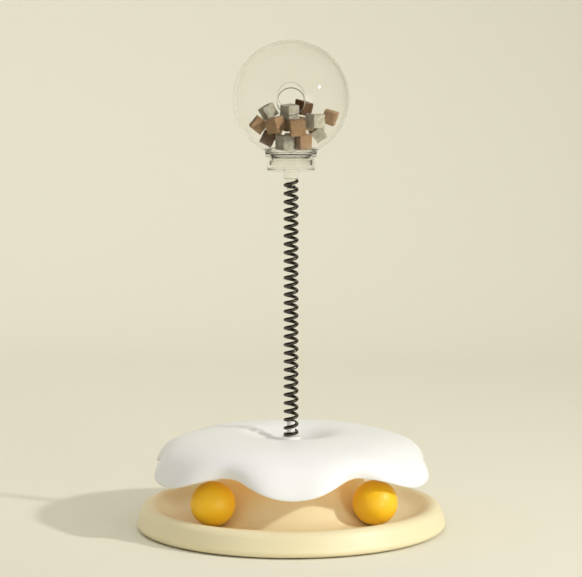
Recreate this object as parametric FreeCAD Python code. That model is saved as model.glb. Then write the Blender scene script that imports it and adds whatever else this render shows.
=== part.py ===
import FreeCAD, Part
import math
import os

# Cat slow feeder toy. A round dished base holds two balls in a ring track under a white cover
# shaped like a fried egg. A coil spring stands on the cover and carries a clear treat globe.
# Millimetres, +Z up, origin on the ground under the middle of the base, front towards -Y.

Vec = FreeCAD.Vector
UP = Vec(0, 0, 1)

# Base tray and its underside
base_radius = 127.3
base_wall = 3.0
base_corner = 4.0
rim_top = 20.6
rim_inset = 6.3
rim_width = 8.5
rim_outer_round = 8.0
rim_inner_round = 10.0
track_bank = 22.5
track_floor = 14.0
track_half_width = 10.0
track_outer_round = 30.0
track_inner_ease = 2.0
hub_slope = 50.0
hub_round = 12.0
post_radius = 17.0
post_height = 8.0
post_round = 1.5
plate_margin = 10.3
plate_thickness = 3.0
plate_gap = 0.3

# Feet and the screws that they hide
foot_count = 4
foot_offset = 2.0
foot_radius = 8.0
foot_thickness = 2.0
foot_stand_out = 1.0
foot_gap = 0.2
foot_round = 0.5
plate_screw_radius = 1.5
plate_screw_head_radius = 2.9
plate_screw_length = 9.0
plate_screw_fit = 0.05
screw_post_radius = 4.0

# Balls and the part of the track that each one keeps to
ball_diameter = 36.0
ball_gap = 0.3
ball_left_angle = -43.5
ball_right_angle = 48.0

# Cover, one moulding with a locating tube under it
cover_wall = 3.0
cover_overhang = 21.7
cover_edge_height = 52.0
cover_crest_radius = 46.0
cover_crest_height = 79.0
cover_seat_height = 71.0
lobe_count = 6
lobe_reach = 8.3
lobe_fullness = 2.7
lobe_drop = 6.1
lobe_turn = 0.8
points_per_lobe = 6
tube_wall = 2.6
tube_gap = 0.3
cover_lift_gap = 0.25

# Spring socket on the cover and its screw
boss_radius = 7.65
boss_height = 4.2
boss_round = 0.6
boss_fit = 0.15
stem_radius = 4.8
stem_fit = 0.15
stem_short = 0.2
spigot_length = 12.0
spigot_tip_round = 1.0
socket_screw_radius = 1.5
socket_screw_head_radius = 3.0
socket_screw_head = 2.2
socket_screw_length = 13.0
socket_screw_fit = 0.05
socket_screw_clearance = 2.8
washer_radius = 6.5
washer_thickness = 1.0

# Spring stalk
spring_outer_radius = 6.2
wire_radius = 1.4
spring_length = 209.5
spring_turns = 30.5
flat_turns = 0.5
flat_pitch = 3.3
spring_seat_gap = 0.15
spring_core_gap = 0.1
spring_start = 180.0

# Cap cup under the globe
cap_stub_radius = 5.7
cap_stub_length = 7.0
cap_spigot_length = 9.0
cap_radius = 19.3
cap_height = 13.8
cap_wall = 1.8
cap_floor = 2.0
cap_lip_radius = 20.5
cap_lip_height = 2.5
cap_edge_round = 0.6
neck_gap = 0.2
neck_wall = 1.6
neck_length = 10.0

# Seal between cap and globe
seal_radius = 21.0
seal_thickness = 0.8
seal_gap = 0.05

# Globe
globe_radius = 46.9
globe_wall = 2.5
globe_flange = 1.3
globe_floor = 2.2
globe_foot_radius = 21.2
leak_hole_radius = 10.5
leak_hole_round = 0.7

# Inside radius and floor depth of the globe that the heap of treats was laid out in
heap_wall = 44.4
heap_floor = 40.9

# Treats, each a cube in the heap: name, right, front and up from the globe's middle, edge, and
# turns about the upright, the left-right and the front-back axis
treats = [
    ("treat_brown_1", -26.0, 3.5, -20.8, 11.0, 8, 6, 38),
    ("treat_brown_2", -12.8, 12.0, -20.6, 11.6, -32, 14, -12),
    ("treat_brown_3", 5.2, 17.0, -22.2, 12.4, 5, 6, -2),
    ("treat_brown_4", 31.4, 0.8, -15.2, 10.8, -14, 4, 18),
    ("treat_brown_5", 8.9, 4.8, -34.3, 12.0, 34, 0, 0),
    ("treat_brown_6", -0.5, -9.8, -21.8, 10.6, 12, 0, 0),
    ("treat_brown_7", 20.0, -16.4, -25.2, 10.2, 28, 24, -22),
    ("treat_dark_1", -18.6, 0.0, -32.2, 10.8, 0, 0, 27),
    ("treat_dark_2", 9.8, -13.5, -8.4, 11.2, 40, 12, 10),
    ("treat_pale_1", -4.9, 7.8, -34.7, 11.6, 38, 0, 0),
    ("treat_pale_2", -18.2, -4.1, -10.8, 10.8, 24, -8, -28),
    ("treat_pale_3", 19.2, 9.4, -17.4, 11.6, 38, 0, 3),
    ("treat_pale_4", -1.2, -2.0, -10.8, 11.4, 42, 6, -4),
    ("treat_pale_5", 22.6, -2.0, -29.4, 10.2, 0, 0, -36),
    ("treat_cream_1", 1.4, -8.2, -34.6, 12.0, 10, 0, 0),
    ("treat_cream_2", -14.4, -13.8, -29.2, 10.8, -20, -10, 14),
    ("treat_cream_3", 12.2, -3.6, -20.4, 10.4, 12, 4, 6),
]

# Where pieces meet, from the sizes above
base_bottom = foot_stand_out
plate_top = base_bottom + plate_thickness
track_radius = base_radius - rim_inset - rim_width - track_bank
plate_radius = base_radius - plate_margin
foot_ring = track_radius + foot_offset
cover_edge_radius = track_radius + cover_overhang
washer_bottom = cover_seat_height - cover_wall - washer_thickness
post_top = washer_bottom - socket_screw_head - socket_screw_clearance
hub_top = post_top - post_height
ball_radius = ball_diameter / 2
track_inner_round = ball_radius + track_inner_ease
ball_height = track_floor + ball_gap + ball_radius
boss_top = cover_seat_height + boss_height
tube_inner_radius = post_radius + tube_gap
tube_outer_radius = tube_inner_radius + tube_wall
tube_bottom = hub_top + cover_lift_gap
coil_radius = spring_outer_radius - wire_radius
spigot_radius = coil_radius - wire_radius - spring_core_gap
spring_bottom = boss_top + spring_seat_gap
spring_top = spring_bottom + spring_length
stub_bottom = spring_top + spring_seat_gap
cap_bottom = stub_bottom + cap_stub_length
cap_top = cap_bottom + cap_height
seal_bottom = cap_top + seal_gap
globe_bottom = seal_bottom + seal_thickness + seal_gap
globe_height = globe_bottom + globe_flange + math.sqrt(globe_radius ** 2 - globe_foot_radius ** 2)
neck_radius = cap_radius - cap_wall - neck_gap
heap_size = min((globe_radius - globe_wall) / heap_wall,
                (globe_height - globe_bottom - globe_floor) / heap_floor)


def save(shape, name):
    """Write one piece to its own file and print what it measures."""
    box = shape.BoundBox
    shape.exportStep(f"parts/{name}.step")
    print(f"{name}: {len(shape.Solids)} solid, {shape.Volume / 1000:.2f} cm3, "
          f"z {box.ZMin:.2f} to {box.ZMax:.2f}, valid {shape.isValid()}")


def around(count, first=0.0):
    """Angles of things spaced evenly round the upright axis."""
    return [first + 360.0 * i / count for i in range(count)]


def at_angle(radius, degrees, height):
    """A point on a circle, with 0 degrees at the front and positive towards the right."""
    turn = math.radians(degrees)
    return Vec(radius * math.sin(turn), -radius * math.cos(turn), height)


def rounded_outline(corners):
    """Edges of an open outline in the XZ plane. Each corner is (x, z, rounding radius)."""
    edges = []
    here = Vec(corners[0][0], 0, corners[0][1])
    for before, corner, after in zip(corners, corners[1:], corners[2:]):
        point = Vec(corner[0], 0, corner[1])
        into = (point - Vec(before[0], 0, before[1])).normalize()
        out = (Vec(after[0], 0, after[1]) - point).normalize()
        if corner[2] > 0:
            half_turn = into.getAngle(out) / 2
            trim = corner[2] * math.tan(half_turn)
            start = point - into * trim
            end = point + out * trim
            toward = (out - into).normalize()
            middle = point + toward * (corner[2] / math.cos(half_turn) - corner[2])
            edges.append(Part.LineSegment(here, start).toShape())
            edges.append(Part.Arc(start, middle, end).toShape())
            here = end
        else:
            edges.append(Part.LineSegment(here, point).toShape())
            here = point
    last = Vec(corners[-1][0], 0, corners[-1][1])
    edges.append(Part.LineSegment(here, last).toShape())
    return edges


def outline_face(corners):
    """Flat face inside a closed outline of rounded corners in the XZ plane."""
    edges = rounded_outline(corners)
    first = Vec(corners[0][0], 0, corners[0][1])
    last = Vec(corners[-1][0], 0, corners[-1][1])
    edges.append(Part.LineSegment(last, first).toShape())
    return Part.Face(Part.Wire(edges))


def inset_corners(corners, depth):
    """An outline moved inwards by a wall. Outside corners tighten and inside corners open."""
    lines = []
    for (x0, z0, _), (x1, z1, _) in zip(corners, corners[1:]):
        along = Vec(x1 - x0, 0, z1 - z0).normalize()
        lines.append((Vec(x0 - depth * along.z, 0, z0 + depth * along.x), along))
    moved = [(lines[0][0].x, lines[0][0].z, 0)]
    for corner, (one, one_way), (two, two_way) in zip(corners[1:], lines, lines[1:]):
        bend = one_way.x * two_way.z - one_way.z * two_way.x
        gap = two - one
        point = one + one_way * ((gap.x * two_way.z - gap.z * two_way.x) / bend)
        rounding = corner[2] + depth if bend < 0 else max(corner[2] - depth, 0)
        moved.append((point.x, point.z, rounding if corner[2] else 0))
    moved.append((corners[-1][0], lines[-1][0].z, 0))
    return moved


def turned(corners):
    """Solid of revolution about the upright axis from a closed half outline."""
    return outline_face(corners).revolve(Vec(0, 0, 0), UP, 360)


def tray_corners(inner_edge):
    """Half section of the tray, from the bottom outside over rim, track and hub to the post."""
    track_start = track_radius + track_half_width
    track_end = track_radius - track_half_width
    rim_outer = base_radius - rim_inset
    hub_run = (hub_top - track_floor) / math.tan(math.radians(hub_slope))
    return [
        (inner_edge, base_bottom, 0),
        (base_radius, base_bottom, base_corner),
        (rim_outer, rim_top, rim_outer_round),
        (rim_outer - rim_width, rim_top, rim_inner_round),
        (track_start, track_floor, track_outer_round),
        (track_end, track_floor, track_inner_round),
        (track_end - hub_run, hub_top, hub_round),
        (post_radius, hub_top, 0),
        (post_radius, post_top, post_round),
        (inner_edge, post_top, 0),
    ]


def foot_places():
    return [at_angle(foot_ring, angle, 0) for angle in around(foot_count, 45.0)]


def base_tray():
    """Hollow tray, open below for the plate, with a screw post over each foot."""
    outside = turned(tray_corners(0))
    hollow = turned(inset_corners(tray_corners(0), base_wall))
    mouth = Part.makeCylinder(plate_radius + plate_gap, base_wall, UP * base_bottom)
    tray = outside.cut(hollow).cut(mouth)
    for place in foot_places():
        post = Part.makeCylinder(screw_post_radius, track_floor - base_wall / 2 - plate_top,
                                 place + UP * plate_top)
        tray = tray.fuse(post)
    for place in foot_places():
        tray = tray.cut(screw_hole(place))
    return tray.removeSplitter()


def screw_hole(place):
    """Pilot hole that a plate screw cuts its thread in."""
    depth = plate_screw_length + 2 * plate_screw_fit
    radius = plate_screw_radius + plate_screw_fit
    return Part.makeCylinder(radius, depth, place + UP * foot_thickness)


def base_plate():
    """Flat plate that closes the tray, with a seat for each foot and screw."""
    plate = Part.makeCylinder(plate_radius, plate_thickness, UP * base_bottom)
    seat_depth = foot_thickness - foot_stand_out
    head_depth = plate_screw_head_radius - plate_screw_radius
    for place in foot_places():
        seat = Part.makeCylinder(foot_radius + foot_gap, seat_depth, place + UP * base_bottom)
        sink = Part.makeCone(plate_screw_head_radius + plate_screw_fit,
                             plate_screw_radius + plate_screw_fit,
                             head_depth, place + UP * foot_thickness)
        plate = plate.cut(seat).cut(sink).cut(screw_hole(place))
    return plate


def plate_screws():
    """Countersunk screws through the plate into the tray's posts."""
    head_depth = plate_screw_head_radius - plate_screw_radius
    screws = []
    for place in foot_places():
        head = Part.makeCone(plate_screw_head_radius, plate_screw_radius, head_depth,
                             place + UP * foot_thickness)
        shank = Part.makeCylinder(plate_screw_radius, plate_screw_length,
                                  place + UP * foot_thickness)
        screws.append(head.fuse(shank).removeSplitter())
    return Part.makeCompound(screws)


def foot(place):
    """Round rubber foot pressed into its seat, standing a little out of the plate."""
    pad = turned([
        (0, 0, 0),
        (foot_radius, 0, foot_round),
        (foot_radius, foot_thickness, 0),
        (0, foot_thickness, 0),
    ])
    pad.translate(place)
    return pad


def ball(angle):
    """Solid track ball, resting in the track."""
    return Part.makeSphere(ball_radius, at_angle(track_radius, angle, ball_height))


def cover_top_rows():
    """Upper skin of the cover as (radius, height, share of the lobe shape), middle to edge."""
    dip = cover_crest_height - cover_seat_height
    fall = cover_crest_height - cover_edge_height
    width = cover_edge_radius - cover_crest_radius
    crest = cover_crest_radius
    top = cover_crest_height
    return [
        (boss_radius / 2, cover_seat_height, 0),
        (boss_radius * 1.6, cover_seat_height, 0),
        (crest * 0.45, top - dip * 0.80, 0),
        (crest * 0.63, top - dip * 0.32, 0),
        (crest * 0.82, top - dip * 0.02, 0),
        (crest, top + dip * 0.05, 0),
        (crest + width * 0.20, top - fall * 0.02, 0),
        (crest + width * 0.42, top - fall * 0.08, 0),
        (crest + width * 0.62, top - fall * 0.18, 0.08),
        (crest + width * 0.80, top - fall * 0.34, 0.22),
        (crest + width * 0.92, top - fall * 0.58, 0.45),
        (crest + width * 0.98, top - fall * 0.82, 0.75),
        (cover_edge_radius, cover_edge_height, 1),
    ]


def inset_rows(rows, depth):
    """The same rows moved inwards, square to the section that they make."""
    moved = []
    for i, (radius, height, share) in enumerate(rows):
        before = rows[max(i - 1, 0)]
        after = rows[min(i + 1, len(rows) - 1)]
        run = after[0] - before[0]
        rise = after[1] - before[1]
        length = math.hypot(run, rise)
        moved.append((radius + depth * rise / length, height - depth * run / length, share))
    return moved


def cover_ring(radius, height, share):
    """Control points of one closed ring of the cover, waved by its share of the lobes."""
    points = []
    steps = lobe_count * points_per_lobe
    for i in range(steps):
        wave = lobe_count * 2 * math.pi * i / steps
        reach = lobe_reach * math.cos(wave) - lobe_fullness * math.cos(2 * wave)
        drop = lobe_drop * math.cos(wave)
        angle = 360.0 * i / steps + lobe_turn
        points.append(at_angle(radius + share * reach, angle, height - share * drop))
    curve = Part.BSplineCurve()
    curve.interpolate(Points=points, PeriodicFlag=True, Parameters=[float(k) for k in range(steps + 1)])
    return curve.getPoles()


def cover_skin():
    """Closed shell of the cover: upper skin, rounded edge and underside in one surface."""
    upper = cover_top_rows()
    under = inset_rows(upper, cover_wall)
    edge = [
        (cover_edge_radius - cover_wall * 0.1, cover_edge_height - cover_wall * 0.6, 1),
        (cover_edge_radius - cover_wall * 0.9, cover_edge_height - cover_wall * 0.6, 1),
    ]
    rows = upper + edge + under[::-1]
    poles = [cover_ring(*row) for row in rows]
    across = len(poles[0])
    along = len(poles)
    by_column = [[poles[row][col] for row in range(along)] for col in range(across)]
    surface = Part.BSplineSurface()
    inside_knots = along - 4
    surface.buildFromPolesMultsKnots(
        by_column,
        [1] * (across + 1),
        [4] + [1] * inside_knots + [4],
        [float(k) for k in range(across + 1)],
        [float(k) for k in range(inside_knots + 2)],
        True, False, 3, 3)
    skin = surface.toShape()
    ends = sorted((e for e in skin.Edges if e.isClosed()), key=lambda e: e.BoundBox.ZMax)
    bore = Part.makeRuledSurface(ends[0], ends[-1])
    shell = Part.makeCompound([skin, bore])
    shell.sewShape()
    return Part.makeSolid(Part.Shell(shell.Faces))


def cover():
    """The egg white: waved dome with a flat seat for the spring socket and a tube below."""
    shell = cover_skin()
    seat_under = cover_seat_height - cover_wall
    tube_height = cover_seat_height - tube_bottom
    tube = Part.makeCylinder(tube_outer_radius, tube_height, UP * tube_bottom)
    bore = Part.makeCylinder(tube_inner_radius, tube_height, UP * tube_bottom)
    boss_seat = Part.makeCylinder(boss_radius + boss_fit, cover_wall, UP * cover_seat_height)
    washer_seat = Part.makeCylinder(washer_radius + boss_fit, cover_wall, UP * (seat_under - cover_wall))
    hole = Part.makeCylinder(stem_radius + stem_fit, 2 * cover_wall, UP * (seat_under - cover_wall / 2))
    body = shell.fuse(tube.cut(bore))
    for tool in (boss_seat, washer_seat, hole):
        body = body.cut(tool)
    return body


def spring_socket():
    """White boss on the cover. Its spigot fills the spring's lowest coils."""
    stem_bottom = cover_seat_height - cover_wall + stem_short
    bore_radius = socket_screw_radius + socket_screw_fit
    bore_top = cover_seat_height - cover_wall + socket_screw_length
    spigot_top = boss_top + spigot_length
    return turned([
        (bore_radius, stem_bottom, 0),
        (stem_radius, stem_bottom, 0),
        (stem_radius, cover_seat_height, 0),
        (boss_radius, cover_seat_height, 0),
        (boss_radius, boss_top, boss_round),
        (spigot_radius, boss_top, 0),
        (spigot_radius, spigot_top, spigot_tip_round),
        (0, spigot_top, 0),
        (0, bore_top, 0),
        (bore_radius, bore_top, 0),
    ])


def socket_washer():
    place = UP * washer_bottom
    disc = Part.makeCylinder(washer_radius, washer_thickness, place)
    hole = Part.makeCylinder(socket_screw_radius + socket_screw_fit, washer_thickness, place)
    return disc.cut(hole)


def socket_screw():
    """Pan head screw that clamps the spring socket to the cover from below."""
    head_bottom = washer_bottom - socket_screw_head
    tip = washer_bottom + socket_screw_length
    return turned([
        (0, head_bottom, 0),
        (socket_screw_head_radius, head_bottom, socket_screw_head / 2),
        (socket_screw_head_radius, washer_bottom, 0),
        (socket_screw_radius, washer_bottom, 0),
        (socket_screw_radius, tip, 0),
        (0, tip, 0),
    ])


def spring_points():
    """Points and directions along the coil, four to a turn. Its first turns lie flatter."""
    steps = round(spring_turns * 4)
    flat_steps = round(flat_turns * 4)
    flat_rise = flat_pitch / 4
    height = spring_length - 2 * wire_radius
    open_rise = (height - flat_steps * flat_rise) / (steps - flat_steps)
    rises = [flat_rise] * flat_steps + [open_rise] * (steps - flat_steps)
    points = []
    level = spring_bottom + wire_radius
    for i in range(steps + 1):
        turn = math.radians(spring_start + 90.0 * i)
        climb = 0
        if 0 < i < steps:
            climb = (rises[i - 1] + rises[i]) / math.pi
        place = Vec(coil_radius * math.cos(turn), coil_radius * math.sin(turn), level)
        along = Vec(-coil_radius * math.sin(turn), coil_radius * math.cos(turn), climb)
        points.append((place, along.normalize()))
        if i < steps:
            level += rises[i]
    return points


def arc_from(start, along, end):
    """Circular edge that leaves the start in a given direction and reaches the end."""
    chord = end - start
    bend = along.getAngle(chord)
    side = (chord.normalize() * math.cos(bend) - along).normalize()
    middle = (start + end) / 2 - side * 0.5 * (end - start).Length * math.tan(bend / 2)
    return Part.Arc(start, middle, end)


def biarc(first, second):
    """Two arcs that join two points of the coil and keep both directions."""
    p0, t0 = first
    p1, t1 = second
    gap = p1 - p0
    both = t0 + t1
    square = 2 * (1 - t0.dot(t1))
    reach = (math.sqrt(gap.dot(both) ** 2 + square * gap.dot(gap)) - gap.dot(both)) / square
    joint = (p0 + t0 * reach + p1 - t1 * reach) / 2
    back = arc_from(p1, t1 * -1, joint)
    back.reverse()
    return arc_from(p0, t0, joint), back


def spring_path():
    """Wire centre line: coils as arcs, with a straight cut end of one wire diameter each."""
    points = spring_points()
    straight = 2 * wire_radius
    first, start_along = points[0]
    last, end_along = points[-1]
    edges = [Part.LineSegment(first - start_along * straight, first).toShape()]
    for here, there in zip(points, points[1:]):
        one, two = biarc(here, there)
        edges.append(one.toShape())
        edges.append(two.toShape())
    edges.append(Part.LineSegment(last, last + end_along * straight).toShape())
    return Part.Wire(edges), first - start_along * straight, start_along


def least_gap(path):
    """Smallest distance between neighbouring coils, measured on points of the centre line."""
    spots = path.discretize(Distance=0.5)
    away = round(math.pi * coil_radius / 0.5)
    nearest = min((a - b).Length for i, a in enumerate(spots) for b in spots[i + away:i + 6 * away])
    return nearest - 2 * wire_radius


def spring():
    """One unbroken wire wound into the stalk."""
    path, start, along = spring_path()
    section = Part.Wire(Part.makeCircle(wire_radius, start, along))
    coil = path.makePipeShell([section], True)
    print(f"spring: {spring_turns} turns, wire {path.Length:.0f} mm long, least gap {least_gap(path):.2f} mm")
    print(f"spring: volume is {coil.Volume / (path.Length * math.pi * wire_radius ** 2):.4f} of its wire")
    return coil


def cap():
    """Clear cup that takes the globe's neck, with a stub and a spigot for the spring below."""
    spigot_bottom = stub_bottom - cap_spigot_length
    inner = cap_radius - cap_wall
    return turned([
        (0, spigot_bottom, 0),
        (spigot_radius, spigot_bottom, spigot_tip_round),
        (spigot_radius, stub_bottom, 0),
        (cap_stub_radius, stub_bottom, cap_edge_round),
        (cap_stub_radius, cap_bottom, cap_edge_round),
        (cap_radius, cap_bottom, cap_edge_round),
        (cap_radius, cap_top - cap_lip_height, 0),
        (cap_lip_radius, cap_top - cap_lip_height, cap_edge_round / 2),
        (cap_lip_radius, cap_top, cap_edge_round),
        (inner, cap_top, 0),
        (inner, cap_bottom + cap_floor, 0),
        (0, cap_bottom + cap_floor, 0),
    ])


def cap_seal():
    """Thin dark ring between the cap's lip and the globe."""
    ring = Part.makeCylinder(seal_radius, seal_thickness, UP * seal_bottom)
    hole = Part.makeCylinder(neck_radius + neck_gap, seal_thickness, UP * seal_bottom)
    return ring.cut(hole)


def globe():
    """Clear ball with a flat floor, a hollow neck below and a leak hole front and back."""
    middle = UP * globe_height
    cut_height = globe_bottom + globe_flange
    outside = Part.makeSphere(globe_radius, middle)
    inside = Part.makeSphere(globe_radius - globe_wall, middle)
    below = Part.makeCylinder(globe_radius, globe_radius, UP * (cut_height - globe_radius))
    low_fill = Part.makeCylinder(globe_radius, globe_radius, UP * (globe_bottom + globe_floor - globe_radius))
    flange = Part.makeCylinder(globe_foot_radius, globe_flange, UP * globe_bottom)
    neck = Part.makeCylinder(neck_radius, neck_length, UP * (globe_bottom - neck_length))
    neck_bore = Part.makeCylinder(neck_radius - neck_wall, neck_length, UP * (globe_bottom - neck_length))
    shell = outside.cut(below).cut(inside.cut(low_fill))
    shell = shell.fuse(flange).fuse(neck.cut(neck_bore)).removeSplitter()
    drill = Part.makeCylinder(leak_hole_radius, 2 * globe_radius, middle + Vec(0, globe_radius, 0),
                              Vec(0, -1, 0))
    shell = shell.cut(drill)
    mouths = [e for e in shell.Edges if abs(e.BoundBox.Center.z - globe_height) < 1
              and e.BoundBox.ZLength < 3 * leak_hole_radius
              and abs(e.BoundBox.Center.y) > globe_radius / 2]
    return shell.makeFillet(leak_hole_round, mouths)


def treat(right, front, up, edge, turn, tilt, lean):
    """One cube of food lying in the heap, which is drawn in or out with the globe."""
    side = edge * heap_size
    cube = Part.makeBox(side, side, side, Vec(-side / 2, -side / 2, -side / 2))
    cube.rotate(Vec(0, 0, 0), Vec(0, 1, 0), lean)
    cube.rotate(Vec(0, 0, 0), Vec(1, 0, 0), tilt)
    cube.rotate(Vec(0, 0, 0), UP, turn)
    cube.translate(Vec(right, -front, up) * heap_size + UP * globe_height)
    return cube


def main():
    os.makedirs("parts", exist_ok=True)
    save(base_tray(), "base_tray")
    save(base_plate(), "base_plate")
    save(plate_screws(), "plate_screws")
    for number, place in enumerate(foot_places(), 1):
        save(foot(place), f"foot_{number}")
    save(ball(ball_left_angle), "ball_left")
    save(ball(ball_right_angle), "ball_right")
    save(cover(), "cover")
    save(spring_socket(), "spring_socket")
    save(socket_washer(), "socket_washer")
    save(socket_screw(), "socket_screw")
    save(spring(), "spring")
    save(cap(), "cap")
    save(cap_seal(), "cap_seal")
    save(globe(), "globe")
    for name, *place in treats:
        save(treat(*place), name)


main()
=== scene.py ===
# %% [markdown]
# # A cat slow feeder toy, piece by piece
#
# The toy stands on a cream dish with a ring track. Two yolk-orange balls roll in the track under a
# white cover that looks like the white of a fried egg. A dark coil spring stands on the cover and
# carries a clear globe of food cubes.
#
# The measured model comes first and is never changed. It gives every piece its place, so nothing
# has to be fitted by eye. This lesson gives the pieces their finish, and models again those that
# the measured model holds only as plain solids.

import math

import bmesh
import bpy
from mathutils import Matrix, Vector, noise


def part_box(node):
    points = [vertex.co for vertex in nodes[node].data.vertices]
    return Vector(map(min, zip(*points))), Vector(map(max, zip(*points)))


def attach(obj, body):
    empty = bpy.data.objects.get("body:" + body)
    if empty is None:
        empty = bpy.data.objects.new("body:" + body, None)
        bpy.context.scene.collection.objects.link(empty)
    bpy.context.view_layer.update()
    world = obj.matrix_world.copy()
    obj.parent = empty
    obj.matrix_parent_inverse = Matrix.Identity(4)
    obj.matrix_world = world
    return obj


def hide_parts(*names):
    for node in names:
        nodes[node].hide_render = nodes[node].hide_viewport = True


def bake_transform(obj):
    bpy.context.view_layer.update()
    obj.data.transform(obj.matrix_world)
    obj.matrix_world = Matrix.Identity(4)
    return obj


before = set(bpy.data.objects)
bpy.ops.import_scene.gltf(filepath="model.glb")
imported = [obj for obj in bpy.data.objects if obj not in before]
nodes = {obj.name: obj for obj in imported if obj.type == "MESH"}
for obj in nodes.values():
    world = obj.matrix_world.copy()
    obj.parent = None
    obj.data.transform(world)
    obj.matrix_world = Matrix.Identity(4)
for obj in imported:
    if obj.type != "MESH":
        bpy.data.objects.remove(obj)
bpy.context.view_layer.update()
mm = 0.001
print("measured pieces:", len(nodes))

# %% [markdown]
# ## The camera
#
# The photograph was taken from about 2.3 m away with a long lens, looking 7 degrees down. A long
# lens keeps the dish's ellipse flat and the globe round. A camera could be placed by eye, but then
# every piece would be judged against a wrong view. So the tilt and the distance come first, from
# how wide the ellipses of the dish, the cover and the globe are against their height.

# %% Camera
camera_distance = 2.248
camera_height = 0.475
camera_pitch = math.radians(82.93)
camera_lens = 173.2

camera_data = bpy.data.cameras.new("photo_camera")
camera_data.lens = camera_lens
camera_data.sensor_width = 36.0
camera_data.clip_end = 50.0
camera = bpy.data.objects.new("photo_camera", camera_data)
camera.location = (0, -camera_distance, camera_height)
camera.rotation_euler = (camera_pitch, 0, 0)
bpy.context.scene.collection.objects.link(camera)
bpy.context.scene.camera = camera
print("camera stands at", tuple(round(v, 3) for v in camera.location))

# %% [markdown]
# ## A few tools for modelling by hand
#
# Every piece below is shaped with the same operators that the menus hold. An operator acts on what
# is selected, so these helpers clear the selection, open one piece for editing, and pick its
# vertices or faces by where they are. The last one adds a node, for the finishes further down.


# %% Modelling helpers
def clear_selection():
    """Nothing selected, and no piece open for editing."""
    if bpy.context.object and bpy.context.object.mode != "OBJECT":
        bpy.ops.object.mode_set(mode="OBJECT")
    bpy.ops.object.select_all(action="DESELECT")


def open_piece(piece):
    """Opens one piece for editing."""
    clear_selection()
    piece.select_set(True)
    bpy.context.view_layer.objects.active = piece
    bpy.ops.object.mode_set(mode="EDIT")


def close_piece():
    bpy.ops.object.mode_set(mode="OBJECT")


def pick(piece, test, kind="VERT"):
    """Selects the vertices, edges or faces of an open piece that pass the test."""
    bpy.ops.mesh.select_mode(type=kind)
    bpy.ops.mesh.select_all(action="DESELECT")
    mesh = bmesh.from_edit_mesh(piece.data)
    parts = {"VERT": mesh.verts, "EDGE": mesh.edges, "FACE": mesh.faces}[kind]
    for part in [part for part in parts if test(part)]:
        part.select_set(True)
    mesh.select_flush_mode()
    bmesh.update_edit_mesh(piece.data)


def settle(piece):
    """Puts a piece's place into its mesh, so that its object sits at the origin."""
    clear_selection()
    piece.select_set(True)
    bpy.context.view_layer.objects.active = piece
    bpy.ops.object.transform_apply(location=True, rotation=True, scale=True)


def add_modifier(piece, kind, **settings):
    """Adds a modifier, sets it and applies it."""
    modifier = piece.modifiers.new(kind.title(), kind)
    for name, value in settings.items():
        setattr(modifier, name, value)
    clear_selection()
    piece.select_set(True)
    bpy.context.view_layer.objects.active = piece
    bpy.ops.object.modifier_apply(modifier=modifier.name)


def harden(piece):
    """Smooth shading that keeps broad faces flat beside a small rounding."""
    clear_selection()
    piece.select_set(True)
    bpy.context.view_layer.objects.active = piece
    bpy.ops.object.shade_smooth()
    add_modifier(piece, "WEIGHTED_NORMAL", weight=60, keep_sharp=True)


def node(tree, kind, **settings):
    """Adds a node to a material, a group or the world, and sets it."""
    made = tree.nodes.new(kind)
    for name, value in settings.items():
        setattr(made, name, value)
    return made


print("helpers ready")

# %% [markdown]
# ## Drawing half a section and turning it
#
# Dish, socket, cap and seal are round. Each could be put together from cylinders, but then every
# step between two of them would need its own bevel. It is shorter to draw half of the section with
# a single vertex: extruded along each straight, and spun round the middle of each rounding. Then
# the whole outline is spun once round the upright axis, as on a lathe.

# %% Section and lathe
merge_gap = 0.002 * mm


def pull(here, there):
    """Extrudes the chosen vertex in a straight line, and returns where it now is."""
    bpy.ops.mesh.extrude_region_move(TRANSFORM_OT_translate={"value": there - here})
    return there


def draw_section(name, corners, arc_step):
    """An outline of (radius, height, rounding) corners, in mm, drawn with one vertex."""
    clear_selection()
    bpy.ops.mesh.primitive_plane_add(size=mm)
    piece = bpy.context.object
    piece.name = name
    bpy.ops.object.mode_set(mode="EDIT")
    bpy.ops.mesh.select_mode(type="VERT")
    bpy.ops.mesh.merge(type="CENTER")
    spots = [Vector((x, 0, z)) * mm for x, z, _ in corners]
    bpy.ops.transform.translate(value=spots[0])
    here = spots[0]
    for before, spot, after, corner in zip(spots, spots[1:], spots[2:], corners[1:]):
        rounding = corner[2]
        if not rounding:
            here = pull(here, spot)
            continue
        into = (spot - before).normalized()
        out = (after - spot).normalized()
        turn = into.angle(out)
        trim = rounding * mm * math.tan(turn / 2)
        here = pull(here, spot - into * trim)
        axis = into.cross(out).normalized()
        middle = here + axis.cross(into) * rounding * mm
        steps = max(2, math.ceil(turn / arc_step))
        bpy.ops.mesh.spin(steps=steps, angle=-turn, center=middle, axis=axis)
        here = spot + out * trim
    pull(here, spots[-1])
    return piece


def lathe(name, corners, sides=128, arc_step=math.radians(9)):
    """A piece turned about the upright axis, from half of its section."""
    piece = draw_section(name, corners, arc_step)
    bpy.ops.mesh.select_all(action="SELECT")
    bpy.ops.mesh.spin(steps=sides, angle=math.tau, center=(0, 0, 0), axis=(0, 0, 1), use_auto_merge=True)
    bpy.ops.mesh.select_all(action="SELECT")
    bpy.ops.mesh.remove_doubles(threshold=merge_gap)
    bpy.ops.mesh.delete_loose()
    bpy.ops.mesh.select_all(action="SELECT")
    bpy.ops.mesh.normals_make_consistent(inside=False)
    close_piece()
    print(name, "has", len(piece.data.polygons), "faces")
    return piece


def dress(piece, cad_name, body, material):
    """Gives a finished piece its material, the body it rides on and the node it stands for."""
    piece.data.materials.clear()
    piece.data.materials.append(material)
    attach(piece, body)
    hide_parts(cad_name)


print("lathe ready")

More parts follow.
